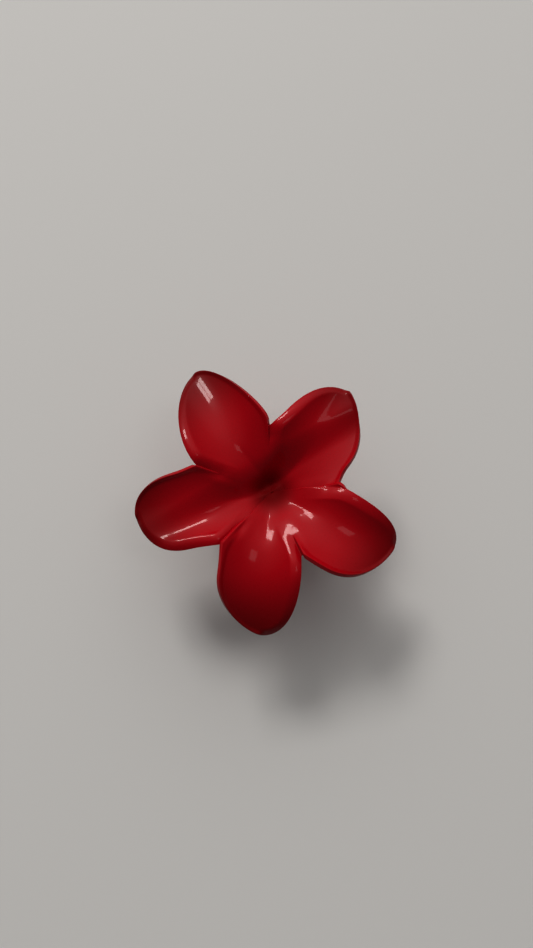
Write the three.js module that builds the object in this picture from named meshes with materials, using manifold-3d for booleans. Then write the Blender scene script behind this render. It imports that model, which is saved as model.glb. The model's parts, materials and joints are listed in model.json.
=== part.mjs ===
// Flower claw hair clip: a five-petal flower on a spring-loaded claw, in millimetres, +Z up.
//
// Two mouldings turn on one steel pin that lies along X under the middle of the flower. The large
// half carries three petals (on +Y) and a comb of teeth below the pin; the small half carries two
// petals (on -Y) and a comb whose teeth pass between those of the large half. Pinching the petals
// together against the torsion spring opens the combs. The clip stands on its teeth, flower up, and
// the origin is at the middle of its footprint.
import * as THREE from "three";
import { mergeVertices } from "three/addons/utils/BufferGeometryUtils.js";
import Module from "manifold-3d";

const wasm = await Module();
wasm.setup();

// ---------------------------------------------------------------- driving dimensions

const GAP = 0.3; // between neighbouring sub-parts of one moulding
const RUNNING_GAP = 0.5; // between sub-parts that turn past each other
const OVERSHOOT = 0.9; // how far joined solids reach into each other

// Heights are above the hinge axis and radii are from the flower's axis, unless said otherwise.
const HINGE_HEIGHT = 28; // hinge axis above the ground
const PIN_RADIUS = 1;
const PIN_CLEARANCE = 0.15; // radial
const PIN_HEAD_RADIUS = 1.8;
const PIN_HEAD_LENGTH = 0.8;

// Flower: a throat that opens into petals, whose midlines crest and then droop to their tips.
const CREST = 13.8;
const THROAT_DEPTH = 12; // how far the throat would fall if it were a sharp funnel
const THROAT_SPREAD = 8; // radius over which it opens
const THROAT_ROUND = 4; // how blunt its bottom is
const THROAT_RADIUS = 3.4; // its open lower end
const COLLAR_RADIUS = 10; // where the throat ends and the petals begin
const DROOP_START = 16;
const WALL = 1.5;
const WALL_STRETCH = 1.7; // the most that a slope lengthens the wall's vertical thickness
const SETBACK = 2.7; // how far the large half lies below the small one where they cross
const SETBACK_FROM = 2; // the setback fades out between these two distances from the hinge plane
const SETBACK_TO = 11;

// A petal is cupped: its sides rise as the square of the distance from its midline. The
// counter-clockwise side rolls over again into a soft band.
const CUP_RISE_FROM = 3;
const CUP_RISE_TO = 15;
const BAND_START = 0.66; // share of the half width where the band begins
const BAND_ROLL = 0.1; // in 1/mm
const BAND_FROM = 10; // radii between which the band grows
const BAND_TO = 20;
const LAP = 1; // how far the small half's petals lap over the large half
const THROAT_FLOOR_WALL = 0.9; // thickness of the disc that closes the throat

// azimuth: of the midline, in degrees. reach: flower's axis to tip. point: the tip's offset to the
// left of the midline. shoulder: distance along the petal where it is widest. right and left: half
// widths there. fullness: how long, as a share of shoulder to tip, the sides stay parallel. blunt:
// how far the tip's sides start behind it. droop: of the midline, in 1/mm. cup: of the right and
// left side, in 1/mm.
const PETALS = [
  {
    name: "large_petal_right", azimuth: 17, reach: 39.5, point: 3.5, shoulder: 21.5,
    right: 12, left: 13.1, fullness: 0.5, blunt: 0.2, droop: 0.001, cup: [0.012, 0.042],
  },
  {
    name: "large_petal_middle", azimuth: 97, reach: 45.5, point: -3, shoulder: 21,
    right: 11.8, left: 14.5, fullness: 0.42, blunt: 0.1, droop: 0.0055, cup: [0.032, 0.042],
  },
  {
    name: "large_petal_left", azimuth: 163, reach: 43, point: -1.5, shoulder: 29,
    right: 10.4, left: 12.4, fullness: 0.69, blunt: 1.4, droop: 0.0048, cup: [0.032, 0.036],
  },
  {
    name: "small_petal_left", azimuth: 232, reach: 44.5, point: 3, shoulder: 28,
    right: 11.7, left: 12.5, fullness: 0.59, blunt: 0.6, droop: 0.0065, cup: [0.032, 0.04],
  },
  {
    name: "small_petal_right", azimuth: 300, reach: 42, point: 3.5, shoulder: 26,
    right: 13.1, left: 11.1, fullness: 0.67, blunt: 1.4, droop: 0.0065, cup: [0.032, 0.048],
  },
];
// Where each petal parts from the next one counter-clockwise.
const NOTCHES = [
  { azimuth: 63, radius: 19 },
  { azimuth: 134, radius: 23.5 },
  { azimuth: 201, radius: 22 },
  { azimuth: 264, radius: 22 },
  { azimuth: 331, radius: 20 },
];
const LARGE_COUNT = 3; // the first three petals belong to the large half

// Claw: the same profile on both sides of the hinge, given by the middle of its wall, from the
// petals' underside down to the teeth's tips. Points are distance from the hinge plane and height
// above the ground.
const CLAW_WALL = [2.2, 1.5]; // at the top and at the tips
const CLAW_ARCH = [
  [8.3, HINGE_HEIGHT], [9.6, HINGE_HEIGHT * 0.75], [9.8, HINGE_HEIGHT * 0.48],
  [9.4, 6], [8.1, 1.9], [5.6, 0.6], [0.5, 0.45], [-3, 1.8],
];
const YOKE_WALL = 1.9;
const YOKE_FOOT = 8.3; // distance of the yoke's wall from the hinge plane, at the hinge's height
const YOKE_HEAD = 11.4; // and where it meets the petals
const YOKE_CURVE = 1.6; // above 1, the yoke leans out more the higher it gets
const BACK_BOTTOM = HINGE_HEIGHT - 11; // height above the ground where the back ends and the teeth begin
const YOKE_MARGIN = 0.2; // the yoke's length past the ears, at each end
const CREASE_SPAN = 9; // degrees either side of a crease within which the yoke keeps below both
const TOOTH_WIDTH = 3.2;
const TOOTH_CLEARANCE = 0.4; // between neighbouring teeth of the two combs
const TOOTH_PITCH = 2 * (TOOTH_WIDTH + TOOTH_CLEARANCE);
const LARGE_TEETH = 5;
const SMALL_TEETH = 4;
const BACK_HALF_LENGTH = ((LARGE_TEETH - 1) * TOOTH_PITCH + TOOTH_WIDTH) / 2;

// Hinge ears: flat lugs from the yoke to the pin, the large half's outside the small half's.
const EAR_RADIUS = 2.6;
const EAR_THICKNESS = 2.2;
const SMALL_EAR_INSIDE = 6.3; // distance of the small half's ears from the middle
const LARGE_EAR_INSIDE = SMALL_EAR_INSIDE + EAR_THICKNESS + RUNNING_GAP;
const EAR_ARM_LOW = -3;
const EAR_ARM_HIGH = 0.4;

// Torsion spring on the pin, between the small half's ears.
const WIRE = 1;
const COIL_RADIUS = 2.3; // to the middle of the wire
const COIL_TURNS = 7;
const COIL_PITCH = 1.2;
const LEG_HEIGHT = 3.4; // the legs' ends above the hinge axis
const LEG_FOOT = 1.1; // bent outwards along X to lie against the yoke

const RED = new THREE.Color(0x960008);
const STEEL = new THREE.Color(0xb8babd);
const CURVE_SEGMENTS = 24;
const ACROSS = 16; // petals' grid
const ALONG = 10;
const COIL_STEPS = 14;

// ---------------------------------------------------------------- helpers

const radians = THREE.MathUtils.degToRad;
const ramp = (value, from, to) => THREE.MathUtils.smoothstep(value, from, to);

function steel() {
  return new THREE.MeshStandardMaterial({ color: STEEL, roughness: 0.35, metalness: 1 });
}

function redPlastic() {
  return new THREE.MeshStandardMaterial({ color: RED, roughness: 0.16, metalness: 0 });
}

function named(name, geometry, material) {
  const mesh = new THREE.Mesh(geometry, material);
  mesh.name = name;
  return mesh;
}

function welded(geometry) {
  geometry.deleteAttribute("normal");
  geometry.deleteAttribute("uv");
  return mergeVertices(geometry);
}

function toSolid(geometry) {
  const merged = welded(geometry.clone());
  const triVerts = Uint32Array.from(merged.index.array);
  const vertProperties = Float32Array.from(merged.attributes.position.array);
  return new wasm.Manifold(new wasm.Mesh({ numProp: 3, vertProperties, triVerts }));
}

function toGeometry(solid) {
  const mesh = solid.getMesh();
  const geometry = new THREE.BufferGeometry();
  geometry.setAttribute("position", new THREE.BufferAttribute(mesh.vertProperties, 3));
  geometry.setIndex(new THREE.BufferAttribute(mesh.triVerts, 1));
  return geometry;
}

/** A closed skin: a unit box whose every point (u, v, w) in 0..1 goes where place says. */
function skin(acrossSteps, alongSteps, place) {
  const geometry = welded(new THREE.BoxGeometry(1, 1, 1, acrossSteps, alongSteps, 1));
  const position = geometry.attributes.position;
  for (let i = 0; i < position.count; i += 1) {
    const point = place(position.getX(i) + 0.5, position.getY(i) + 0.5, position.getZ(i) + 0.5);
    position.setXYZ(i, point.x, point.y, point.z);
  }
  return geometry;
}

/** A flat outline in the YZ plane, extruded along X from x0 to x1. */
function plate(shape, x0, x1) {
  const settings = { depth: x1 - x0, bevelEnabled: false, curveSegments: CURVE_SEGMENTS };
  const geometry = new THREE.ExtrudeGeometry(shape, settings);
  const axes = new THREE.Matrix4().makeBasis(
    new THREE.Vector3(0, 1, 0), new THREE.Vector3(0, 0, 1), new THREE.Vector3(1, 0, 0));
  geometry.applyMatrix4(axes);
  geometry.translate(x0, 0, 0);
  return geometry;
}

// ---------------------------------------------------------------- flower surface

/** Height of a petal's midline surface at radius r, at a distance along the petal. */
function midlineHeight(petal, r, along) {
  const past = Math.max(0, along - DROOP_START);
  const funnel = THROAT_DEPTH * Math.exp(-Math.hypot(r, THROAT_ROUND) / THROAT_SPREAD);
  return CREST - funnel - petal.droop * past * past;
}

function notchBefore(index) {
  return NOTCHES[(index + NOTCHES.length - 1) % NOTCHES.length];
}

/** Signed difference of two azimuths in degrees, -180..180. */
function turn(from, to) {
  return THREE.MathUtils.euclideanModulo(to - from + 180, 360) - 180;
}

function petalAt(azimuth) {
  for (let index = 0; index < PETALS.length; index += 1) {
    const start = notchBefore(index).azimuth;
    const span = THREE.MathUtils.euclideanModulo(NOTCHES[index].azimuth - start, 360);
    if (THREE.MathUtils.euclideanModulo(azimuth - start, 360) <= span) return index;
  }
  return 0;
}

/** Height of the upper face above the hinge axis at (x, y), as part of the given petal. */
function upperHeight(index, x, y) {
  const petal = PETALS[index];
  const heading = radians(petal.azimuth);
  const along = x * Math.cos(heading) + y * Math.sin(heading);
  const bend = petal.point * ramp(along, petal.shoulder - 5, petal.reach);
  const aside = y * Math.cos(heading) - x * Math.sin(heading) - bend;
  const r = Math.hypot(x, y);
  const edge = Math.tan(radians(turn(petal.azimuth, NOTCHES[index].azimuth)));
  const halfWidth = Math.min(petal.left, Math.max(0, along) * edge);
  const cup = (aside > 0 ? petal.cup[1] : petal.cup[0]) * ramp(r, CUP_RISE_FROM, CUP_RISE_TO);
  const over = Math.max(0, aside - BAND_START * halfWidth);
  const band = BAND_ROLL * ramp(r, BAND_FROM, BAND_TO) * over * over;
  const setback = index < LARGE_COUNT ? SETBACK * (1 - ramp(y, SETBACK_FROM, SETBACK_TO)) : 0;
  return midlineHeight(petal, r, along) + cup * aside * aside - band - setback;
}

/** Vertical thickness that gives the wall its true thickness on the surface's slope. */
function wallHeight(index, x, y) {
  const step = 0.05;
  const slopeX = (upperHeight(index, x + step, y) - upperHeight(index, x - step, y)) / (2 * step);
  const slopeY = (upperHeight(index, x, y + step) - upperHeight(index, x, y - step)) / (2 * step);
  return WALL * Math.min(WALL_STRETCH, Math.hypot(1, slopeX, slopeY));
}

/** A point of the flower's wall: w is 0 on the lower face and 1 on the upper face. */
function wallPoint(index, x, y, w) {
  const height = upperHeight(index, x, y) - (1 - w) * wallHeight(index, x, y);
  return new THREE.Vector3(x, y, HINGE_HEIGHT + height);
}

// ---------------------------------------------------------------- petals and throats

/** Where an azimuth's ray meets radius r, moved sideways (to the left of the ray) by shift. */
function polar(azimuth, r, shift) {
  const angle = radians(azimuth);
  return new THREE.Vector2(r * Math.cos(angle) - shift * Math.sin(angle),
    r * Math.sin(angle) + shift * Math.cos(angle));
}

/** How far a half's edge stays back from the line between petals index and index + 1. */
function edgeShift(index, side) {
  const seam = index === LARGE_COUNT - 1 || index === PETALS.length - 1;
  if (!seam) return GAP / 2;
  const small = (index === LARGE_COUNT - 1) === (side === "after");
  return small ? -LAP : GAP;
}

/** A petal's outer edge in plan, from its clockwise notch round the tip to the other notch. */
function petalOutline(index) {
  const petal = PETALS[index];
  const before = notchBefore(index);
  const after = NOTCHES[index];
  const beforeIndex = (index + NOTCHES.length - 1) % NOTCHES.length;
  const start = polar(before.azimuth, before.radius, edgeShift(beforeIndex, "after"));
  const end = polar(after.azimuth, after.radius, -edgeShift(index, "before"));
  const local = (along, aside) => new THREE.Vector2(along, aside)
    .rotateAround(new THREE.Vector2(), radians(petal.azimuth));
  const curve = new THREE.CurvePath();
  const tipRun = (petal.reach - petal.shoulder) * petal.fullness;
  const startRun = 4;
  const right = local(petal.shoulder, -petal.right);
  const left = local(petal.shoulder, petal.left);
  const tip = local(petal.reach, petal.point);
  const tipSide = (width) => local(petal.reach - petal.blunt, petal.point + width / 2);
  curve.add(new THREE.CubicBezierCurve(start, start.clone().lerp(right, 0.4),
    local(petal.shoulder - startRun, -petal.right), right));
  curve.add(new THREE.CubicBezierCurve(right, local(petal.shoulder + tipRun, -petal.right),
    tipSide(-petal.right), tip));
  curve.add(new THREE.CubicBezierCurve(tip, tipSide(petal.left),
    local(petal.shoulder + tipRun, petal.left), left));
  curve.add(new THREE.CubicBezierCurve(left, local(petal.shoulder - startRun, petal.left),
    end.clone().lerp(left, 0.4), end));
  return curve;
}

function petalGeometry(index) {
  const before = notchBefore(index);
  const beforeIndex = (index + NOTCHES.length - 1) % NOTCHES.length;
  const sweep = THREE.MathUtils.euclideanModulo(NOTCHES[index].azimuth - before.azimuth, 360);
  const outline = petalOutline(index);
  const startShift = edgeShift(beforeIndex, "after");
  const endShift = -edgeShift(index, "before");
  return skin(ACROSS, ALONG, (u, v, w) => {
    const t = 1 - u;
    const inner = polar(before.azimuth + t * sweep, COLLAR_RADIUS + GAP,
      THREE.MathUtils.lerp(startShift, endShift, t));
    const outer = outline.getPoint(t);
    const point = inner.lerp(new THREE.Vector2(outer.x, outer.y), v);
    return wallPoint(index, point.x, point.y, w);
  });
}

/** Half of the throat, between the azimuths of the two seams. */
function throatGeometry(fromAzimuth, toAzimuth, steps, small) {
  const shift = small ? 0 : GAP;
  return skin(steps, 6, (u, v, w) => {
    const t = 1 - u;
    const radius = THREE.MathUtils.lerp(THROAT_RADIUS, COLLAR_RADIUS, v);
    const azimuth = THREE.MathUtils.lerp(fromAzimuth, toAzimuth, t);
    const point = polar(azimuth, radius, THREE.MathUtils.lerp(shift, -shift, t));
    const index = small ? LARGE_COUNT + Number(t > (NOTCHES[3].azimuth - fromAzimuth)
      / (toAzimuth - fromAzimuth)) : Math.min(LARGE_COUNT - 1, petalAt(azimuth));
    return wallPoint(index, point.x, point.y, w);
  });
}

/** The large half's throat, with the disc that closes it below both halves. */
function largeThroatGeometry(fromAzimuth, toAzimuth) {
  const ring = toSolid(throatGeometry(fromAzimuth, toAzimuth, 38, false));
  const disc = new THREE.CylinderGeometry(THROAT_RADIUS + OVERSHOOT, THROAT_RADIUS + OVERSHOOT,
    THROAT_FLOOR_WALL, CURVE_SEGMENTS);
  disc.rotateX(Math.PI / 2);
  const floor = midlineHeight(PETALS[0], THROAT_RADIUS, 0) - SETBACK - WALL;
  disc.translate(0, 0, HINGE_HEIGHT + floor + THROAT_FLOOR_WALL / 2);
  return toGeometry(ring.add(toSolid(disc)));
}

// ---------------------------------------------------------------- claws

/** A bent wall's outline, of changing thickness about a smooth middle line. */
function bentWall(points, side) {
  const middle = new THREE.SplineCurve(points.map(([y, z]) => new THREE.Vector2(side * y, z)));
  const steps = 22;
  const left = [];
  const right = [];
  for (let i = 0; i <= steps; i += 1) {
    const t = i / steps;
    const half = THREE.MathUtils.lerp(CLAW_WALL[0], CLAW_WALL[1], t) / 2;
    const point = middle.getPoint(t);
    const tangent = middle.getTangent(t);
    const normal = new THREE.Vector2(-tangent.y, tangent.x).multiplyScalar(half);
    left.push(point.clone().add(normal));
    right.push(point.clone().sub(normal));
  }
  return new THREE.Shape(left.concat(right.reverse()));
}

/** A round rod on the hinge axis. */
function rod(radius, x0, x1) {
  const geometry = new THREE.CylinderGeometry(radius, radius, x1 - x0, CURVE_SEGMENTS);
  geometry.rotateZ(-Math.PI / 2);
  geometry.translate((x0 + x1) / 2, 0, HINGE_HEIGHT);
  return geometry;
}

function box(x0, x1, y0, y1, z0, z1) {
  const geometry = new THREE.BoxGeometry(x1 - x0, y1 - y0, z1 - z0);
  geometry.translate((x0 + x1) / 2, (y0 + y1) / 2, (z0 + z1) / 2);
  return geometry;
}

/** An ear's outline, from the pin to the yoke. */
function earShape(side) {
  const reach = side * (YOKE_FOOT - CLAW_WALL[0] / 2 + OVERSHOOT);
  const shape = new THREE.Shape();
  shape.moveTo(reach, HINGE_HEIGHT + EAR_ARM_LOW);
  shape.lineTo(reach, HINGE_HEIGHT + EAR_ARM_HIGH);
  if (side > 0) shape.absarc(0, HINGE_HEIGHT, EAR_RADIUS, Math.PI / 2, 1.5 * Math.PI, false);
  else shape.absarc(0, HINGE_HEIGHT, EAR_RADIUS, Math.PI / 2, -Math.PI / 2, true);
  shape.closePath();
  return shape;
}

/** Distance of the yoke's middle from the hinge plane at a height above the hinge axis. */
function yokeDistance(height) {
  const share = Math.max(0, height / CREST);
  return YOKE_FOOT + (YOKE_HEAD - YOKE_FOOT) * share ** YOKE_CURVE;
}

/** Height of the flower's lower face, taking the lower petal where two of them meet. */
function lowerHeight(x, y) {
  const azimuth = THREE.MathUtils.radToDeg(Math.atan2(y, x));
  const heights = [-CREASE_SPAN, 0, CREASE_SPAN]
    .map((offset) => wallPoint(petalAt(azimuth + offset), x, y, 0).z);
  return Math.min(...heights);
}

/** The wall from the back up to just below the flower. */
function yokeGeometry(side, halfLength) {
  return skin(14, 5, (u, v, w) => {
    const x = side * (2 * u - 1) * halfLength;
    const y = side * (yokeDistance(v * CREST) + (0.5 - w) * YOKE_WALL);
    const top = lowerHeight(x, y) - GAP;
    return new THREE.Vector3(x, y, THREE.MathUtils.lerp(HINGE_HEIGHT - OVERSHOOT, top, v));
  });
}

/** The spaces between a comb's teeth, and past its end teeth, as [from, to] along X. */
function toothSpaces(teeth) {
  const left = (tooth) => (tooth - (teeth - 1) / 2) * TOOTH_PITCH - TOOTH_WIDTH / 2;
  const spaces = [];
  for (let tooth = 1; tooth < teeth; tooth += 1) {
    spaces.push([left(tooth - 1) + TOOTH_WIDTH, left(tooth)]);
  }
  if (teeth < LARGE_TEETH) {
    spaces.push([-BACK_HALF_LENGTH - 1, left(0)]);
    spaces.push([left(teeth - 1) + TOOTH_WIDTH, BACK_HALF_LENGTH + 1]);
  }
  return spaces;
}

/** One half's claw: yoke up to the petals, hinge ears, back and comb of teeth. */
function clawGeometry(side, teeth, earInside) {
  const arch = bentWall(CLAW_ARCH, side);
  let solid = toSolid(plate(arch, -BACK_HALF_LENGTH, BACK_HALF_LENGTH));
  for (const [from, to] of toothSpaces(teeth)) {
    solid = solid.subtract(toSolid(box(from, to, -20, 20, -5, BACK_BOTTOM)));
  }
  const earOutside = earInside + EAR_THICKNESS;
  solid = solid.add(toSolid(yokeGeometry(side, earOutside + YOKE_MARGIN)));
  for (const [from, to] of [[-earOutside, -earInside], [earInside, earOutside]]) {
    solid = solid.add(toSolid(plate(earShape(side), from, to)));
  }
  solid = solid.subtract(toSolid(rod(PIN_RADIUS + PIN_CLEARANCE, -earOutside - 1, earOutside + 1)));
  return toGeometry(solid.subtract(toSolid(box(-20, 20, -20, 20, -5, 0))));
}

// ---------------------------------------------------------------- pin and spring

function pinGeometry() {
  const inner = LARGE_EAR_INSIDE + EAR_THICKNESS + GAP;
  const profile = [[0, -inner - PIN_HEAD_LENGTH], [PIN_HEAD_RADIUS, -inner - PIN_HEAD_LENGTH],
    [PIN_HEAD_RADIUS, -inner], [PIN_RADIUS, -inner], [PIN_RADIUS, inner], [0, inner]];
  const points = profile.map(([r, along]) => new THREE.Vector2(r, along));
  const geometry = new THREE.LatheGeometry(points, CURVE_SEGMENTS);
  geometry.rotateZ(-Math.PI / 2);
  geometry.translate(0, 0, HINGE_HEIGHT);
  return geometry;
}

/** The spring's wire: a leg to the large half, the coil, and a leg to the small half. */
function springGeometry() {
  const length = COIL_TURNS * COIL_PITCH;
  const reach = yokeDistance(LEG_HEIGHT) - YOKE_WALL / 2 - GAP - WIRE / 2;
  const halfway = reach / 2;
  const points = [];
  for (const side of [1, -1]) {
    const x = side * -length / 2;
    const leg = [new THREE.Vector3(x - side * LEG_FOOT, side * reach, LEG_HEIGHT),
      new THREE.Vector3(x - side * 0.3 * LEG_FOOT, side * reach, LEG_HEIGHT),
      new THREE.Vector3(x, side * (reach - WIRE), LEG_HEIGHT * 0.95),
      new THREE.Vector3(x, side * halfway, (LEG_HEIGHT + COIL_RADIUS) / 2)];
    if (side === 1) {
      points.push(...leg);
      for (let i = 0; i <= COIL_TURNS * COIL_STEPS; i += 1) {
        const turns = i / COIL_STEPS;
        const angle = 2 * Math.PI * turns;
        points.push(new THREE.Vector3(-length / 2 + turns * COIL_PITCH,
          -COIL_RADIUS * Math.sin(angle), COIL_RADIUS * Math.cos(angle)));
      }
    } else points.push(...leg.reverse());
  }
  const path = new THREE.CatmullRomCurve3(points);
  path.arcLengthDivisions = 1500;
  const section = new THREE.Shape();
  section.absarc(0, 0, WIRE / 2, 0, 2 * Math.PI);
  const steps = COIL_TURNS * COIL_STEPS + 24;
  const settings = { steps, curveSegments: 3, bevelEnabled: false, extrudePath: path };
  const geometry = new THREE.ExtrudeGeometry(section, settings);
  geometry.translate(0, 0, HINGE_HEIGHT);
  return geometry;
}

// ---------------------------------------------------------------- assembly

const clip = new THREE.Group();

PETALS.forEach((petal, index) => {
  clip.add(named(petal.name, petalGeometry(index), redPlastic()));
});
const seamRight = NOTCHES[4].azimuth - 360;
const seamLeft = NOTCHES[2].azimuth;
clip.add(named("large_throat", largeThroatGeometry(seamRight, seamLeft), redPlastic()));
clip.add(named("small_throat", throatGeometry(seamLeft, NOTCHES[4].azimuth, 22, true), redPlastic()));
clip.add(named("large_claw", clawGeometry(1, LARGE_TEETH, LARGE_EAR_INSIDE), redPlastic()));
clip.add(named("small_claw", clawGeometry(-1, SMALL_TEETH, SMALL_EAR_INSIDE), redPlastic()));
clip.add(named("hinge_pin", pinGeometry(), steel()));
clip.add(named("torsion_spring", springGeometry(), steel()));

const bounds = new THREE.Box3().setFromObject(clip);
const middle = bounds.getCenter(new THREE.Vector3());
clip.position.set(-middle.x, -middle.y, -bounds.min.z);

export default clip;
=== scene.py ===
"""Flower claw hair clip in glossy red plastic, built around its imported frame.

Two mouldings make the clip. Each is one continuous skin from the throat of the flower to the tips of
its petals, with a claw below it, and both turn on a steel pin with a torsion spring round it. All
sizes of the shape are in millimetres, and heights are above the hinge axis, until a mesh is finished
and put in the frame in metres.
"""

from __future__ import annotations

import json
import logging
import math
from dataclasses import dataclass, field
from enum import Enum
from typing import Sequence

import bmesh
import bpy
from mathutils import Matrix, Vector


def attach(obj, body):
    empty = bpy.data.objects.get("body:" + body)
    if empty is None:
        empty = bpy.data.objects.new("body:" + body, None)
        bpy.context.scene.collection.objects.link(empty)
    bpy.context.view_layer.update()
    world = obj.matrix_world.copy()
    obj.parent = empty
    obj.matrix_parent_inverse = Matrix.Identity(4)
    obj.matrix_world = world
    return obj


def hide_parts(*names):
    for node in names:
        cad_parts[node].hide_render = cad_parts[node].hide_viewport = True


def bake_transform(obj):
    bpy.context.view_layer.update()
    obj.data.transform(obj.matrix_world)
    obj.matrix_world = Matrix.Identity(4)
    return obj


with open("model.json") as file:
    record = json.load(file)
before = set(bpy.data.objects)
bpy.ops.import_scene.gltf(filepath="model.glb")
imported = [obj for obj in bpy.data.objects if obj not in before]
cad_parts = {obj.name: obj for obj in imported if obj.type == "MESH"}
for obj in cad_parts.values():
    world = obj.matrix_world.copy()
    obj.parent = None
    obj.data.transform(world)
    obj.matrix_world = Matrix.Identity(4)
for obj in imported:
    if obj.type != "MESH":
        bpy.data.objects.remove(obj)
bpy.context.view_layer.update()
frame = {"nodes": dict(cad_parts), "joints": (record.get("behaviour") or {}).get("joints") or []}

MM = 0.001
LOG = logging.getLogger("flower_clip")


class Half(Enum):
    """The two mouldings, by the name of the body that each rides on."""

    LARGE = "large_half"
    SMALL = "small_half"


def clamp(value: float, low: float = 0.0, high: float = 1.0) -> float:
    """Keeps a value between two limits."""
    return max(low, min(high, value))


def ramp(value: float, start: float, end: float) -> float:
    """Smooth step from 0 at start to 1 at end."""
    share = clamp((value - start) / (end - start))
    return share * share * (3 - 2 * share)


def lerp(a: float, b: float, share: float) -> float:
    """Straight mix of two numbers."""
    return a + (b - a) * share


# ---------------------------------------------------------------- shader building


class Value:
    """A node socket that takes part in Python arithmetic by adding Math nodes."""

    def __init__(self, graph: "Graph", socket: bpy.types.NodeSocket) -> None:
        """Wraps a socket of a graph."""
        self.graph = graph
        self.socket = socket

    def _math(self, operation: str, *terms: "Value | float") -> "Value":
        """Adds one Math node and returns its output."""
        inputs = {index: term for index, term in enumerate(terms)}
        return self.graph.node("ShaderNodeMath", {"operation": operation}, inputs)

    def __add__(self, other: "Value | float") -> "Value":
        """self + other."""
        return self._math("ADD", self, other)

    __radd__ = __add__

    def __sub__(self, other: "Value | float") -> "Value":
        """self - other."""
        return self._math("SUBTRACT", self, other)

    def __rsub__(self, other: float) -> "Value":
        """other - self."""
        return self._math("SUBTRACT", other, self)

    def __mul__(self, other: "Value | float") -> "Value":
        """self * other."""
        return self._math("MULTIPLY", self, other)

    __rmul__ = __mul__


class Graph:
    """A node tree with one method that adds any node."""

    def __init__(self, tree: bpy.types.NodeTree) -> None:
        """Empties the tree."""
        self.tree = tree
        tree.nodes.clear()

    def node(
        self,
        kind: str,
        settings: dict[str, object] | None = None,
        inputs: dict[str | int, object] | None = None,
        output: str | int = 0,
    ) -> Value:
        """Adds a node.

        Args:
            kind: the node's type.
            settings: attributes set before the sockets; "stops" fills a colour ramp.
            inputs: socket name or number to a value or a linked Value.
            output: the output to return.

        Returns:
            The chosen output.
        """
        made = self.tree.nodes.new(kind)
        for name, value in (settings or {}).items():
            if name == "stops":
                ramp_of = made.color_ramp
                while len(ramp_of.elements) < len(value):
                    ramp_of.elements.new(0.5)
                for element, (position, colour) in zip(ramp_of.elements, value):
                    element.position, element.color = position, colour
            else:
                setattr(made, name, value)
        for name, value in (inputs or {}).items():
            if isinstance(value, Value):
                self.tree.links.new(value.socket, made.inputs[name])
            else:
                made.inputs[name].default_value = value
        sockets = made.outputs
        return Value(self, sockets[output]) if len(sockets) else None


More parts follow.
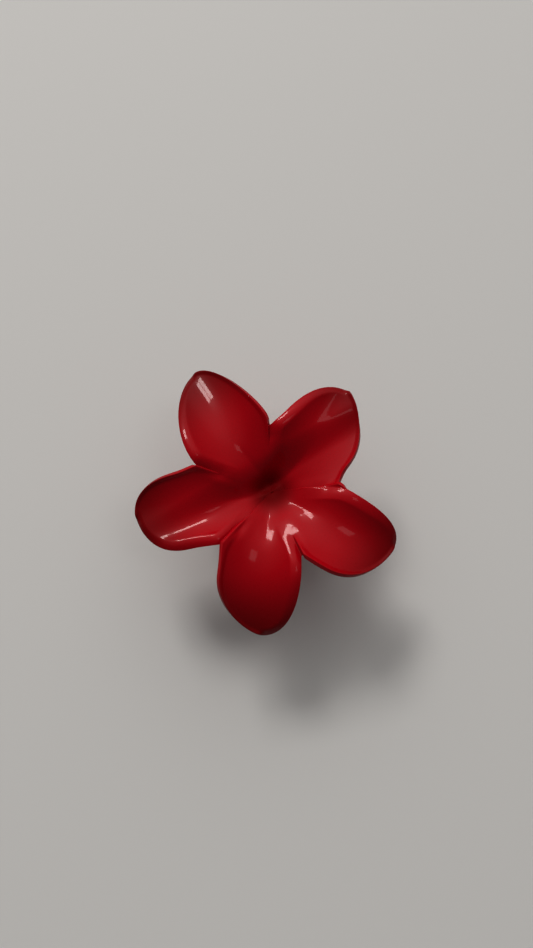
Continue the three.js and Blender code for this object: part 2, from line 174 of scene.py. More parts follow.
@dataclass(frozen=True)
class RedPlastic:
    """Deep red injection-moulded plastic with a polished, very slightly uneven skin.

    axis is the flower's, in plan. Painted shade darkens its colour from throat_to in to throat_from,
    where it also loses its polish, and painted shade darkens the petal tips from tip_from out to tip_to.
    All distances are in metres.
    """

    axis: tuple[float, float]
    colour: tuple[float, float, float] = (0.39, 0.0004, 0.009)
    shade: tuple[float, float, float] = (0.3, 0.0003, 0.004)
    # painted shade: the dark red that the throat and the petal tips are mixed towards
    deep: tuple[float, float, float] = (0.1, 0.0001, 0.0001)
    roughness: float = 0.28
    specular: float = 0.06
    coat: float = 0.3
    coat_roughness: float = 0.05
    # painted shade in the throat, from throat_to in to throat_from
    throat_from: float = 0.002
    throat_to: float = 0.0095
    throat_painted_shade: float = 0.8
    throat_dulling: float = 0.45
    # painted shade on the petal tips, from tip_from out to tip_to
    tip_from: float = 0.024
    tip_to: float = 0.044
    tip_painted_shade: float = 0.7
    mottling: float = 0.35
    grain: float = 0.06
    bump_strength: float = 0.25
    bump_height: float = 0.0004
    bump_grain: float = 0.04

    def build(self) -> bpy.types.Material:
        """Makes the material."""
        material = bpy.data.materials.new("red_plastic_gloss")
        material.use_nodes = True
        graph = Graph(material.node_tree)
        place = graph.node("ShaderNodeTexCoord", output="Object")
        flow = graph.node(
            "ShaderNodeTexNoise", {}, {"Vector": place, "Scale": 55.0, "Detail": 2.0, "Roughness": 0.5}
        )
        fine = graph.node(
            "ShaderNodeTexNoise", {}, {"Vector": place, "Scale": 900.0, "Detail": 3.0, "Roughness": 0.6}
        )
        apart = graph.node(
            "ShaderNodeVectorMath",
            {"operation": "SUBTRACT"},
            {0: place, 1: (*self.axis, 0)},
        )
        flat = graph.node(
            "ShaderNodeVectorMath", {"operation": "MULTIPLY"}, {0: apart, 1: (1, 1, 0)}
        )
        radius = graph.node("ShaderNodeVectorMath", {"operation": "LENGTH"}, {0: flat}, output="Value")
        # painted shade: a mask that darkens the colour near the flower's axis, in the throat
        deep = graph.node(
            "ShaderNodeMapRange",
            {"interpolation_type": "SMOOTHSTEP"},
            {0: radius, 1: self.throat_from, 2: self.throat_to, 3: self.throat_painted_shade, 4: 0.0},
        )
        mottled = graph.node(
            "ShaderNodeMix",
            {"data_type": "RGBA"},
            {0: flow * self.mottling, 6: (*self.colour, 1), 7: (*self.shade, 1)},
            output=2,
        )
        # painted shade: a mask that darkens the petal tips, where they turn away from the light
        tip = graph.node(
            "ShaderNodeMapRange",
            {"interpolation_type": "SMOOTHSTEP"},
            {0: radius, 1: self.tip_from, 2: self.tip_to, 3: 0.0, 4: self.tip_painted_shade},
        )
        # painted shade: the colour darkens towards the deep red in the throat and on the petal tips
        colour = graph.node(
            "ShaderNodeMix",
            {"data_type": "RGBA"},
            {0: deep + tip, 6: mottled, 7: (*self.deep, 1)},
            output=2,
        )
        bump = graph.node(
            "ShaderNodeBump",
            {},
            {
                "Strength": self.bump_strength,
                "Distance": self.bump_height,
                "Height": flow + fine * self.bump_grain,
            },
        )
        uneven = fine * self.grain + deep * self.throat_dulling
        shader = graph.node(
            "ShaderNodeBsdfPrincipled",
            {},
            {
                "Base Color": colour,
                "Roughness": uneven + (self.roughness - self.grain / 2),
                "IOR": 1.5,
                "Specular IOR Level": self.specular,
                "Coat Weight": (1 - deep * (1 / self.throat_painted_shade)) * self.coat,
                "Coat Roughness": self.coat_roughness,
                "Normal": bump,
            },
        )
        graph.node("ShaderNodeOutputMaterial", {}, {"Surface": shader})
        return material


@dataclass(frozen=True)
class SpringSteel:
    """Bright drawn steel wire and bar."""

    colour: tuple[float, float, float] = (0.52, 0.52, 0.53)
    roughness: float = 0.26
    grain: float = 0.16
    bump_strength: float = 0.2
    bump_height: float = 0.00005

    def build(self) -> bpy.types.Material:
        """Makes the material."""
        material = bpy.data.materials.new("spring_steel")
        material.use_nodes = True
        graph = Graph(material.node_tree)
        place = graph.node("ShaderNodeTexCoord", output="Object")
        drawn = graph.node(
            "ShaderNodeTexNoise", {}, {"Vector": place, "Scale": 1400.0, "Detail": 3.0, "Roughness": 0.6}
        )
        bump = graph.node(
            "ShaderNodeBump",
            {},
            {"Strength": self.bump_strength, "Distance": self.bump_height, "Height": drawn},
        )
        shader = graph.node(
            "ShaderNodeBsdfPrincipled",
            {},
            {
                "Base Color": (*self.colour, 1),
                "Metallic": 1.0,
                "Roughness": drawn * self.grain + (self.roughness - self.grain / 2),
                "Normal": bump,
            },
        )
        graph.node("ShaderNodeOutputMaterial", {}, {"Surface": shader})
        return material


# ---------------------------------------------------------------- placing finished meshes


@dataclass
class Workshop:
    """Turns finished bmeshes into pieces of the clip."""

    axis: Vector
    red: bpy.types.Material
    steel: bpy.types.Material

    def shape(
        self,
        name: str,
        mesh: bmesh.types.BMesh,
        slot: str,
        replaces: Sequence[str],
        smooth_below: float,
    ) -> bpy.types.Object:
        """Places a mesh in the frame and gives it its finish.

        Args:
            name: the piece's name.
            mesh: its shape in millimetres about the hinge axis.
            slot: the record's material slot.
            replaces: the frame's nodes it stands for.
            smooth_below: edges sharper than this, in degrees, stay sharp.

        Returns:
            The object, which doesn't ride on anything yet.
        """
        bmesh.ops.scale(mesh, vec=(MM, MM, MM), verts=mesh.verts)
        bmesh.ops.translate(mesh, vec=self.axis, verts=mesh.verts)
        bmesh.ops.recalc_face_normals(mesh, faces=mesh.faces)
        for face in mesh.faces:
            face.smooth = True
        for edge in mesh.edges:
            edge.smooth = edge.calc_face_angle(0.0) < math.radians(smooth_below)
        data = bpy.data.meshes.new(name)
        mesh.to_mesh(data)
        mesh.free()
        piece = bpy.data.objects.new(name, data)
        bpy.context.scene.collection.objects.link(piece)
        data.materials.append(self.red if slot == "red_plastic" else self.steel)
        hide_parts(*replaces)
        LOG.info("%s: %d faces", name, len(data.polygons))
        return piece

    def finish(
        self,
        name: str,
        mesh: bmesh.types.BMesh,
        body: Half,
        slot: str,
        replaces: Sequence[str],
        smooth_below: float = 50.0,
    ) -> bpy.types.Object:
        """Makes a piece of a mesh, as shape does, and puts it on a moulding."""
        piece = self.shape(name, mesh, slot, replaces, smooth_below)
        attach(piece, body.value)
        return piece


# ---------------------------------------------------------------- the flower's surface


@dataclass(frozen=True)
class Petal:
    """One petal, seen along its midline from the flower's axis.

    azimuth is the midline's, in degrees; reach is to the tip; point is the tip's offset to the left;
    shoulder is the distance at which it is widest, and right and left are its half widths there;
    fullness is how long the sides stay parallel, as a share of shoulder to tip; blunt is how far the
    tip's sides start behind it; droop is how sharply the midline falls towards the tip, cup how sharply
    the right and the left side rise, and roll how sharply the band along the left side turns down
    again, all in 1/mm.
    """

    azimuth: float
    reach: float
    point: float
    shoulder: float
    right: float
    left: float
    fullness: float
    blunt: float
    droop: float
    cup: tuple[float, float]
    roll: float


@dataclass(frozen=True)
class Notch:
    """Where a petal parts from the next one counter-clockwise."""

    azimuth: float
    radius: float


@dataclass
class Flower:
    """The flower's surface, as a height over the plan.

    The large half is set back below the small one by setback, less near the axis by setback_relief,
    and more where the small half sweeps over it, by sweep_clearance. The band along each petal's left
    side starts with a crease. A gutter runs down each midline, and a lip along each right side.
    """

    crest: float = 13.8
    throat_depth: float = 12.0
    throat_spread: float = 8.0
    throat_round: float = 4.0
    droop_start: float = 16.0
    wall: float = 1.5
    setback: float = 2.7
    setback_relief: float = 1.2
    relief_from: float = 1.5
    relief_to: float = 4.0
    sweep_clearance: float = 0.7
    sweep_from: float = 3.0
    sweep_to: float = 8.0
    sweep_start: float = 0.3
    sweep_full: float = 2.5
    setback_from: float = 2.0
    setback_to: float = 11.0
    cup_from: float = 3.0
    cup_to: float = 15.0
    band_width: float = 3.4
    band_width_tip: float = 1.7
    crease: float = 0.42
    band_from: float = 9.0
    band_to: float = 17.0
    fold_fade: float = 7.0
    fold_width: float = 4.5
    fold_limit: float = 28.0
    lap: float = 1.0
    gap: float = 0.3
    petals: tuple[Petal, ...] = (
        Petal(17, 39.5, 3.5, 21.5, 12.0, 13.1, 0.5, 1.6, 0.001, (0.012, 0.042), 0.3),
        Petal(97, 45.5, -3.0, 21.0, 11.8, 14.5, 0.42, 0.1, 0.0055, (0.032, 0.042), 0.32),
        Petal(163, 43.0, -1.5, 29.0, 10.4, 12.4, 0.69, 0.4, 0.0048, (0.036, 0.038), 0.3),
        Petal(232, 44.5, 3.0, 28.0, 11.7, 12.5, 0.59, 0.6, 0.0105, (0.032, 0.042), 0.3),
        Petal(300, 42.0, 3.5, 26.0, 13.1, 11.1, 0.67, 0.3, 0.0095, (0.03, 0.046), 0.24),
    )
    notches: tuple[Notch, ...] = (
        Notch(63, 19),
        Notch(134, 23.5),
        Notch(201, 22),
        Notch(264, 22),
        Notch(331, 20),
    )
    large_count: int = 3
    point_lead: float = 5.0
    rim_steps: int = 48
    rim_overlap: int = 4
    rim_smoothing: int = 3
    gutter_depth: float = 0.45
    gutter_width: float = 1.6
    gutter_from: float = 5.0
    gutter_full: float = 9.0
    gutter_fade: float = 10.0
    gutter_to: float = 19.0
    gutter_edge: float = 1.6
    lip_height: float = 0.5
    lip_width: float = 1.3
    outlines: dict[tuple[int, bool], list[Vector]] = field(default_factory=dict)

    def is_large(self, index: int) -> bool:
        """Whether a petal belongs to the large half."""
        return index < self.large_count

    def edge_distance(self, index: int, point: Vector, left: bool) -> float:
        """How far a point is inside one of a petal's long edges.

        Args:
            index: the petal.
            point: where, in plan.
            left: take the edge from the throat round to the tip on the left, not on the right.

        Returns:
            The distance to the edge, which goes smoothly past the notch, and is negative beyond it.
        """
        if (index, left) not in self.outlines:
            notch = self.notches[index if left else index - 1]
            rim = self.outline(index, self.rim_steps, plain=True)
            half = self.rim_steps // 2
            rim = rim[half - self.rim_overlap:] if left else rim[half + self.rim_overlap::-1]
            inwards = (0.8, 0.6, 0.4, 0.2)
            rim += [self.polar(notch.azimuth, notch.radius * share, 0) for share in inwards]
            for _ in range(self.rim_smoothing):
                rim[1:-1] = [(a + b * 2 + c) / 4 for a, b, c in zip(rim, rim[1:], rim[2:])]
            self.outlines[index, left] = rim
        line = self.outlines[index, left]
        nearest, inside = 1e6, True
        for a, b in zip(line, line[1:]):
            run = b - a
            share = clamp((point - a).dot(run) / run.length_squared)
            apart = (point - a - run * share).length_squared
            if apart < nearest:
                nearest, inside = apart, (run.cross(point - a) > 0) == left
        return math.sqrt(nearest) if inside else -math.sqrt(nearest)

    def own_height(self, index: int, x: float, y: float) -> float:
        """Height of the upper face of a petal at (x, y), as if it had no neighbours."""
        petal = self.petals[index]
        heading = math.radians(petal.azimuth)
        along = x * math.cos(heading) + y * math.sin(heading)
        aside = y * math.cos(heading) - x * math.sin(heading)
        radius = math.hypot(x, y)
        aside -= petal.point * ramp(along, petal.shoulder - self.point_lead, petal.reach)
        past = max(0.0, along - self.droop_start)
        funnel = math.exp(-math.hypot(radius, self.throat_round) / self.throat_spread)
        gutter = ramp(radius, self.gutter_from, self.gutter_full)
        gutter *= 1 - ramp(radius, self.gutter_fade, self.gutter_to)
        gutter *= self.gutter_depth * math.exp(-abs(aside / self.gutter_width) ** self.gutter_edge)
        cup = petal.cup[1] if aside > 0 else petal.cup[0]
        rise = cup * ramp(radius, self.cup_from, self.cup_to) * aside * aside
        height = self.crest - self.throat_depth * funnel - petal.droop * past * past + rise - gutter
        if radius < self.band_from:
            return height
        grown = ramp(radius, self.band_from, self.band_to)
        if aside < 0:
            inside = self.edge_distance(index, Vector((x, y)), left=False)
            return height + self.lip_height * grown * (1 - ramp(inside, 0, self.lip_width))
        width = lerp(self.band_width, self.band_width_tip, ramp(along, petal.shoulder, petal.reach))
        inside = self.edge_distance(index, Vector((x, y)), left=True)
        over = max(0.0, width - max(inside, -self.lap / 2))
        bend = petal.roll - self.crease / self.band_width
        return height - grown * over * (self.crease + bend * over)

    def height(self, index: int, x: float, y: float) -> float:
        """Height of the upper face at (x, y), as part of the given petal.

        Neighbouring petals run into each other near the throat, and part step by step towards the
        notch between them.
        """
        radius = math.hypot(x, y)
        azimuth = math.degrees(math.atan2(y, x))
        own = height = self.own_height(index, x, y)
        reach = min(self.fold_limit, math.degrees(self.fold_width / max(radius, 1.0)))
        for line, other in ((index, index + 1), (index - 1, index - 1)):
            notch = self.notches[line % len(self.notches)]
            away = abs((azimuth - notch.azimuth + 180) % 360 - 180)
            amount = 1 - ramp(radius, notch.radius - self.fold_fade, notch.radius)
            if away < reach and amount > 0:
                near = (1 - away / reach) ** 2 / 2
                height += amount * near * (self.own_height(other % len(self.petals), x, y) - own)
        if self.is_large(index):
            over = ramp(y, self.sweep_start, self.sweep_full)
            central = (1 - ramp(radius, self.relief_from, self.relief_to)) * (1 - over)
            swept = (1 - ramp(radius, self.sweep_from, self.sweep_to)) * over
            deep = self.setback - self.setback_relief * central + self.sweep_clearance * swept
            height -= deep * (1 - ramp(y, self.setback_from, self.setback_to))
        return height

    def edge_shift(self, index: int, after: bool) -> float:
        """How far an edge stays back from the line between petals index and index + 1."""
        if index not in (self.large_count - 1, len(self.petals) - 1):
            return 0.0
        small = (index == self.large_count - 1) == after
        return -self.lap if small else self.gap

    @staticmethod
    def polar(azimuth: float, radius: float, shift: float) -> Vector:
        """The point of a ray at a radius, moved to the left of the ray by shift."""
        angle = math.radians(azimuth)
        ray = Vector((math.cos(angle), math.sin(angle)))
        return ray * radius + Vector((-ray.y, ray.x)) * shift

    def outline(self, index: int, steps: int, plain: bool = False) -> list[Vector]:
        """A petal's outer edge in plan, evenly spaced from its clockwise notch to the other.

        Args:
            index: the petal.
            steps: how many equal steps to take.
            plain: leave out the lap over, or the gap to, the other half.

        Returns:
            steps + 1 points.
        """
        petal = self.petals[index]
        before, after = self.notches[index - 1], self.notches[index]
        heading = Matrix.Rotation(math.radians(petal.azimuth), 2)
        first = 0.0 if plain else self.edge_shift((index - 1) % len(self.petals), True)
        last = 0.0 if plain else -self.edge_shift(index, False)
        start = self.polar(before.azimuth, before.radius, first)
        end = self.polar(after.azimuth, after.radius, last)

        def local(along: float, aside: float) -> Vector:
            """A point of the plan from its place on the petal."""
            return heading @ Vector((along, aside))

        shoulder, blunt = petal.shoulder, petal.reach - petal.blunt
        right, left = local(shoulder, -petal.right), local(shoulder, petal.left)
        tip = local(petal.reach, petal.point)
        run = (petal.reach - shoulder) * petal.fullness
        tip_right = local(blunt, petal.point - petal.right / 2)
        tip_left = local(blunt, petal.point + petal.left / 2)
        curves = (
            (start, start.lerp(right, 0.4), local(shoulder - 4, -petal.right), right),
            (right, local(shoulder + run, -petal.right), tip_right, tip),
            (tip, tip_left, local(shoulder + run, petal.left), left),
            (left, local(shoulder - 4, petal.left), end.lerp(left, 0.4), end),
        )
        fine = [bezier(curve, share / 40) for curve in curves for share in range(40)] + [end]
        return resample(fine, steps)


def bezier(points: Sequence[Vector], share: float) -> Vector:
    """A point of a cubic Bezier curve."""
    a, b, c, d = points
    rest = 1 - share
    return a * rest**3 + b * 3 * rest**2 * share + c * 3 * rest * share**2 + d * share**3


def resample(points: Sequence[Vector], steps: int) -> list[Vector]:
    """Points at even distances along a polyline, steps + 1 of them."""
    reach = [0.0]
    for a, b in zip(points, points[1:]):
        reach.append(reach[-1] + (b - a).length)
    found, at = [], 0
    for step in range(steps + 1):
        goal = reach[-1] * step / steps
        while at < len(points) - 2 and reach[at + 1] < goal:
            at += 1
        share = (goal - reach[at]) / max(1e-9, reach[at + 1] - reach[at])
        found.append(points[at].lerp(points[at + 1], clamp(share)))
    return found


@dataclass
class FlowerHalf:
    """One moulding's petals and its part of the throat, as a single walled skin.

    throat_radius is where its petals start and closed says that the middle is filled. The wall there
    is throat_wall of its full thickness. across and along are each petal's steps, and edge_pull is how
    far the steps crowd towards its rim.
    """

    flower: Flower
    half: Half
    members: tuple[int, ...]
    nodes: tuple[str, ...]
    throat_radius: float
    closed: bool = False
    throat_wall: float = 0.55
    across: int = 56
    along: int = 48
    edge_pull: float = 0.8
    throat_shift: float = 0.3
    throat_blend: float = 4.0
    weld: float = 0.004

    def fill(self, mesh: bmesh.types.BMesh, index: int) -> list[list[bmesh.types.BMVert]]:
        """Adds a petal's upper face.

        Args:
            mesh: the moulding so far.
            index: the petal.

        Returns:
            The vertices of its right and of its left side, from the throat out to the notch.
        """
        flower = self.flower
        before, after = flower.notches[index - 1], flower.notches[index]
        sweep = (after.azimuth - before.azimuth) % 360
        outline = flower.outline(index, self.across)
        start = flower.edge_shift((index - 1) % len(flower.petals), True)
        end = -flower.edge_shift(index, False)
        made = bmesh.ops.create_grid(
            mesh, x_segments=self.across, y_segments=self.along, size=0.5
        )
        sides: dict[int, list[tuple[int, bmesh.types.BMVert]]] = {0: [], self.across: []}
        for vert in made["verts"]:
            column = round((0.5 - vert.co.x) * self.across)
            row = round((vert.co.y + 0.5) * self.along)
            share, out = column / self.across, row / self.along
            shift = lerp(start, end, share)
            azimuth = before.azimuth + share * sweep
            inner = flower.polar(azimuth, self.throat_radius, shift * self.throat_shift)
            crowded = lerp(out, math.sin(out * math.pi / 2), self.edge_pull)
            point = inner.lerp(outline[column], crowded)
            vert.co = (point.x, point.y, flower.height(index, point.x, point.y))
            if column in sides:
                sides[column].append((row, vert))
        ordered = [sorted(side, key=lambda pair: pair[0]) for side in sides.values()]
        return [[vert for _, vert in side] for side in ordered]

    def build(self, shop: Workshop) -> bpy.types.Object:
        """Makes the skin, gives it its wall and rounds its rims."""
        mesh = bmesh.new()
        sides = [self.fill(mesh, index) for index in self.members]
        for (_, left), (right, _) in zip(sides, sides[1:]):
            self.close_step(mesh, left, right)
        bmesh.ops.remove_doubles(mesh, verts=mesh.verts, dist=self.weld)
        if self.closed:
            self.close_throat(mesh)
        name = f"{self.half.value}_flower"
        piece = shop.finish(name, mesh, self.half, "red_plastic", self.nodes, 180)
        wall = piece.modifiers.new("wall", "SOLIDIFY")
        wall.thickness = self.flower.wall * MM
        wall.offset = -1
        thickness = piece.vertex_groups.new(name="thickness")
        centre = shop.axis.xy
        for vert in piece.data.vertices:
            radius = (vert.co.xy - centre).length / MM
            full = ramp(radius, self.throat_radius, self.throat_radius + self.throat_blend)
            share = lerp(self.throat_wall, 1, full)
            thickness.add((vert.index,), share, "REPLACE")
        wall.vertex_group = thickness.name
        rounding = piece.modifiers.new("rounding", "SUBSURF")
        rounding.levels = rounding.render_levels = 1
        return piece

    def close_step(
        self,
        mesh: bmesh.types.BMesh,
        left: Sequence[bmesh.types.BMVert],
        right: Sequence[bmesh.types.BMVert],
    ) -> None:
        """Joins a petal's left side to the right side of the next one, which may stand above it."""
        for step in range(len(left) - 1):
            a, b, c, d = left[step], left[step + 1], right[step + 1], right[step]
            near, far = (a.co - d.co).length, (b.co - c.co).length
            if far < self.weld:
                continue
            mesh.faces.new((a, b, c) if near < self.weld else (a, b, c, d))

    def close_throat(self, mesh: bmesh.types.BMesh) -> None:
        """Fills the middle of the throat, which the other moulding stands above."""
        facing = math.radians(self.flower.petals[self.members[1]].azimuth)
        ring = [vert for vert in mesh.verts if vert.co.xy.length < self.throat_radius + 0.01]
        turn = 2 * math.pi
        ring.sort(key=lambda vert: math.remainder(math.atan2(vert.co.y, vert.co.x) - facing, turn))
        mesh.faces.new(ring)


# ---------------------------------------------------------------- below the flower


@dataclass
class Claw:
    """One half's yoke, ears, back and comb, as the frame has them, with the comb's edges rounded."""

    flower: Flower
    half: Half
    node: str
    edge: float = 0.35
    corner: float = 32.0
    rounded_below: float = -8.0
    sunk: float = 0.7
    yoke_from: float = 3.0
    yoke_reach: float = 2.4
    weld: float = 0.01
    flat: float = 0.6

    def build(self, shop: Workshop) -> bpy.types.Object:
        """Copies the frame's shape, lets the yoke into the flower's wall and rounds the comb."""
        mesh = bmesh.new()
        mesh.from_mesh(frame["nodes"][self.node].data)
        bmesh.ops.translate(mesh, vec=-shop.axis, verts=mesh.verts)
        bmesh.ops.scale(mesh, vec=(1 / MM, 1 / MM, 1 / MM), verts=mesh.verts)
        bmesh.ops.remove_doubles(mesh, verts=mesh.verts, dist=self.weld)
        members = (0, 1, 2) if self.half is Half.LARGE else (3, 4)
        for vert in mesh.verts:
            index = min(members, key=lambda member: self.bearing(member, vert.co))
            under = self.flower.height(index, vert.co.x, vert.co.y) - self.flower.wall
            if vert.co.z > max(self.yoke_from, under - self.yoke_reach):
                vert.co.z = under + self.sunk
        flat = bmesh.ops.dissolve_limit(
            mesh, angle_limit=math.radians(self.flat), verts=mesh.verts, edges=mesh.edges
        )
        LOG.info("%s: %d flat faces", self.node, len(flat["region"]))
        corners = [
            edge for edge in mesh.edges
            if edge.calc_face_angle(0.0) > math.radians(self.corner)
            and max(vert.co.z for vert in edge.verts) < self.rounded_below
        ]
        bmesh.ops.bevel(
            mesh, geom=corners, offset=self.edge, offset_type="OFFSET", affect="EDGES",
            segments=3, profile=0.5, clamp_overlap=False, material=-1,
        )
        name = f"{self.half.value}_claw"
        piece = shop.finish(name, mesh, self.half, "red_plastic", (self.node,), self.corner)
        shading = piece.modifiers.new("flat_faces", "WEIGHTED_NORMAL")
        shading.keep_sharp = True
        return piece

    def bearing(self, member: int, point: Vector) -> float:
        """How far round a point is from a petal's midline, in degrees."""
        azimuth = math.degrees(math.atan2(point.y, point.x))
        return abs((azimuth - self.flower.petals[member].azimuth + 180) % 360 - 180)


@dataclass
class Hinge:
    """The headed pin and the torsion spring on it."""

    pin_radius: float = 1.0
    head_radius: float = 1.8
    head_length: float = 0.8
    inner: float = 11.5
    wire: float = 1.0
    coil_radius: float = 2.3
    turns: int = 7
    pitch: float = 1.2
    leg_height: float = 3.4
    leg_reach: float = 7.2
    leg_foot: float = 1.1
    leg_bend: float = 0.3
    leg_corner: float = 0.7
    steps: int = 20

    def pin(self, shop: Workshop) -> bpy.types.Object:
        """A drawn pin, headed at one end and domed over at the other."""
        mesh = bmesh.new()
        profile = (
            (-self.inner - self.head_length, 0.0),
            (-self.inner - self.head_length, self.head_radius * 0.8),
            (-self.inner - self.head_length * 0.7, self.head_radius),
            (-self.inner, self.head_radius),
            (-self.inner, self.pin_radius),
            (self.inner - 0.3, self.pin_radius),
            (self.inner, self.pin_radius * 0.7),
            (self.inner, 0.0),
        )
        verts = [mesh.verts.new((x, 0, r)) for x, r in profile]
        edges = [mesh.edges.new(pair) for pair in zip(verts, verts[1:])]
        bmesh.ops.spin(
            mesh, geom=verts + edges, axis=(1, 0, 0), cent=(0, 0, 0),
            angle=2 * math.pi, steps=48, use_merge=True,
        )
        bmesh.ops.remove_doubles(mesh, verts=mesh.verts, dist=0.001)
        return shop.finish("hinge_pin_steel", mesh, Half.LARGE, "steel", ("hinge_pin",), 35)

    def wire_path(self) -> list[Vector]:
        """The middle of the wire, from the large half's leg round the coil to the small half's."""
        points = []
        end = self.turns * self.pitch / 2
        for side in (1, -1):
            x = -side * end
            leg = [
                Vector((x - side * self.leg_foot, side * self.leg_reach, self.leg_height)),
                Vector((x - side * self.leg_bend, side * self.leg_reach, self.leg_height)),
                Vector((x, side * (self.leg_reach - self.leg_corner), self.leg_height)),
                Vector((x, side * self.leg_reach / 2, (self.leg_height + self.coil_radius) / 2)),
            ]
            if side == 1:
                points += leg
                for step in range(self.turns * self.steps + 1):
                    angle = 2 * math.pi * step / self.steps
                    points.append(Vector((
                        x + step / self.steps * self.pitch,
                        -self.coil_radius * math.sin(angle),
                        self.coil_radius * math.cos(angle),
                    )))
            else:
                points += reversed(leg)
        return points

    def spring(self, shop: Workshop) -> bpy.types.Object:
        """The wire, whose coil turns smoothly from one half to the other."""
        curve = bpy.data.curves.new("spring_path", "CURVE")
        curve.dimensions = "3D"
        curve.bevel_depth = self.wire / 2
        curve.bevel_resolution = 3
        curve.use_fill_caps = True
        path = self.wire_path()
        spline = curve.splines.new("POLY")
        spline.points.add(len(path) - 1)
        for point, place in zip(spline.points, path):
            point.co = (*place, 1)
        holder = bpy.data.objects.new("spring_path", curve)
        mesh = bmesh.new()
        mesh.from_mesh(bpy.data.meshes.new_from_object(holder))
        bpy.data.objects.remove(holder)
        piece = shop.shape("torsion_spring_wire", mesh, "steel", ("torsion_spring",), 60)
        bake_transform(piece)
        return piece


# ---------------------------------------------------------------- studio


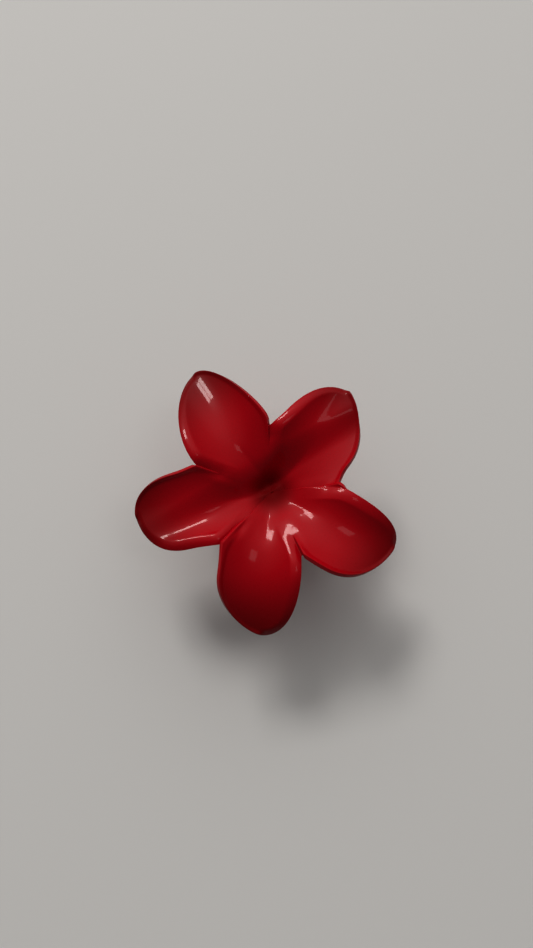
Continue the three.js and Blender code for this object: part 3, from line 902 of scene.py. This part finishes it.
@dataclass
class Studio:
    """Floor, window light and camera."""

    target: Vector
    elevation: float = 80.0
    heading: float = 240.0
    distance: float = 0.244
    angle: float = 62.0
    light_distance: float = 1.6
    sky_strength: float = 1.5
    gamma: float = 0.76
    exposure: float = 0.2
    glow_azimuth: float = 62.0
    glow_elevation: float = 45.0
    glow: tuple[tuple[float, tuple[float, float, float, float]], ...] = (
        (0.0, (0.085, 0.085, 0.085, 1)),
        (0.45, (0.12, 0.12, 0.12, 1)),
        (0.8, (0.45, 0.44, 0.43, 1)),
        (0.98, (1, 0.98, 0.96, 1)),
    )

    @staticmethod
    def towards(azimuth: float, elevation: float) -> Vector:
        """The unit vector at an azimuth and an elevation, in degrees."""
        across, up = math.radians(azimuth), math.radians(elevation)
        return Vector((math.cos(across) * math.cos(up), math.sin(across) * math.cos(up), math.sin(up)))

    def floor(self) -> None:
        """A plain pale surface under the clip."""
        mesh = bmesh.new()
        bmesh.ops.create_grid(mesh, x_segments=1, y_segments=1, size=2.5)
        data = bpy.data.meshes.new("floor")
        mesh.to_mesh(data)
        mesh.free()
        ground = bpy.data.objects.new("floor", data)
        bpy.context.scene.collection.objects.link(ground)
        material = bpy.data.materials.new("pale_floor")
        material.use_nodes = True
        graph = Graph(material.node_tree)
        shader = graph.node(
            "ShaderNodeBsdfPrincipled",
            {},
            {"Base Color": (0.575, 0.57, 0.562, 1), "Roughness": 0.8, "Specular IOR Level": 0.2},
        )
        graph.node("ShaderNodeOutputMaterial", {}, {"Surface": shader})
        data.materials.append(material)

    def panel(
        self,
        name: str,
        azimuth: float,
        elevation: float,
        size: tuple[float, float],
        power: float,
        aside: float = 0.0,
        colour: tuple[float, float, float] = (1, 1, 1),
    ) -> None:
        """Adds a rectangular area light that faces the clip.

        Args:
            name: the light's name.
            azimuth: where it stands, in degrees.
            elevation: how high it stands, in degrees.
            size: its width and height, in metres.
            power: in watts.
            aside: how far it is moved to its side, in metres.
            colour: of its light.
        """
        light = bpy.data.lights.new(name, "AREA")
        light.shape = "RECTANGLE"
        light.size, light.size_y = size
        light.energy = power
        light.color = colour
        lamp = bpy.data.objects.new(name, light)
        bpy.context.scene.collection.objects.link(lamp)
        across = math.radians(azimuth)
        way = self.towards(azimuth, elevation)
        side = Vector((-math.sin(across), math.cos(across), 0))
        lamp.location = self.target + way * self.light_distance + side * aside
        lamp.rotation_euler = way.to_track_quat("Z", "Y").to_euler()

    def lights(self) -> None:
        """Two window panes, a faint roof light, and a sky that is bright round the window."""
        warm = (1, 0.98, 0.95)
        for name, aside in (("window_left", 0.125), ("window_right", -0.125)):
            self.panel(name, 84, 47, (0.22, 0.36), 5.5, aside=aside, colour=warm)
        self.panel("roof_light", 330, 70, (0.34, 0.42), 0.95)
        world = bpy.data.worlds.new("sky")
        bpy.context.scene.world = world
        world.use_nodes = True
        graph = Graph(world.node_tree)
        way = graph.node("ShaderNodeTexCoord", output="Generated")
        middle = self.towards(self.glow_azimuth, self.glow_elevation)
        near = graph.node(
            "ShaderNodeVectorMath", {"operation": "DOT_PRODUCT"}, {0: way, 1: middle}, output="Value"
        )
        glow = graph.node("ShaderNodeValToRGB", {"stops": self.glow}, {0: near})
        sky = graph.node("ShaderNodeBackground", {}, {"Color": glow, "Strength": self.sky_strength})
        graph.node("ShaderNodeOutputWorld", {}, {"Surface": sky})

    def camera(self) -> None:
        """Looks almost straight down."""
        data = bpy.data.cameras.new("camera")
        data.sensor_fit = "VERTICAL"
        data.angle = math.radians(self.angle)
        camera = bpy.data.objects.new("camera", data)
        bpy.context.scene.collection.objects.link(camera)
        across = math.radians(self.heading)
        way = self.towards(self.heading, self.elevation)
        camera.location = self.target + way * self.distance
        back = way.normalized()
        ahead = Vector((-math.cos(across), -math.sin(across), 0))
        up_axis = (ahead - back * ahead.dot(back)).normalized()
        right = up_axis.cross(back)
        camera.rotation_euler = Matrix((right, up_axis, back)).transposed().to_euler()
        bpy.context.scene.camera = camera

    def build(self) -> None:
        """Sets the whole scene round the clip."""
        self.floor()
        self.lights()
        self.camera()
        view = bpy.context.scene.view_settings
        view.view_transform = "Standard"
        view.gamma = self.gamma
        view.exposure = self.exposure


def main() -> None:
    """Builds the clip and the studio."""
    logging.basicConfig(level=logging.INFO, format="%(name)s: %(message)s")
    axis = Vector(frame["joints"][0]["pos_m"])
    shop = Workshop(axis, RedPlastic(axis=(axis.x, axis.y)).build(), SpringSteel().build())
    flower = Flower()
    large = ("large_petal_right", "large_petal_middle", "large_petal_left", "large_throat")
    small = ("small_petal_left", "small_petal_right", "small_throat")
    FlowerHalf(flower, Half.LARGE, (0, 1, 2), large, 0.8, closed=True).build(shop)
    FlowerHalf(flower, Half.SMALL, (3, 4), small, 0.15).build(shop)
    Claw(flower, Half.LARGE, "large_claw").build(shop)
    Claw(flower, Half.SMALL, "small_claw").build(shop)
    hinge = Hinge()
    hinge.pin(shop)
    hinge.spring(shop)
    Studio(axis + Vector((1, 5, 12)) * MM).build()


if __name__ == "__main__":
    main()
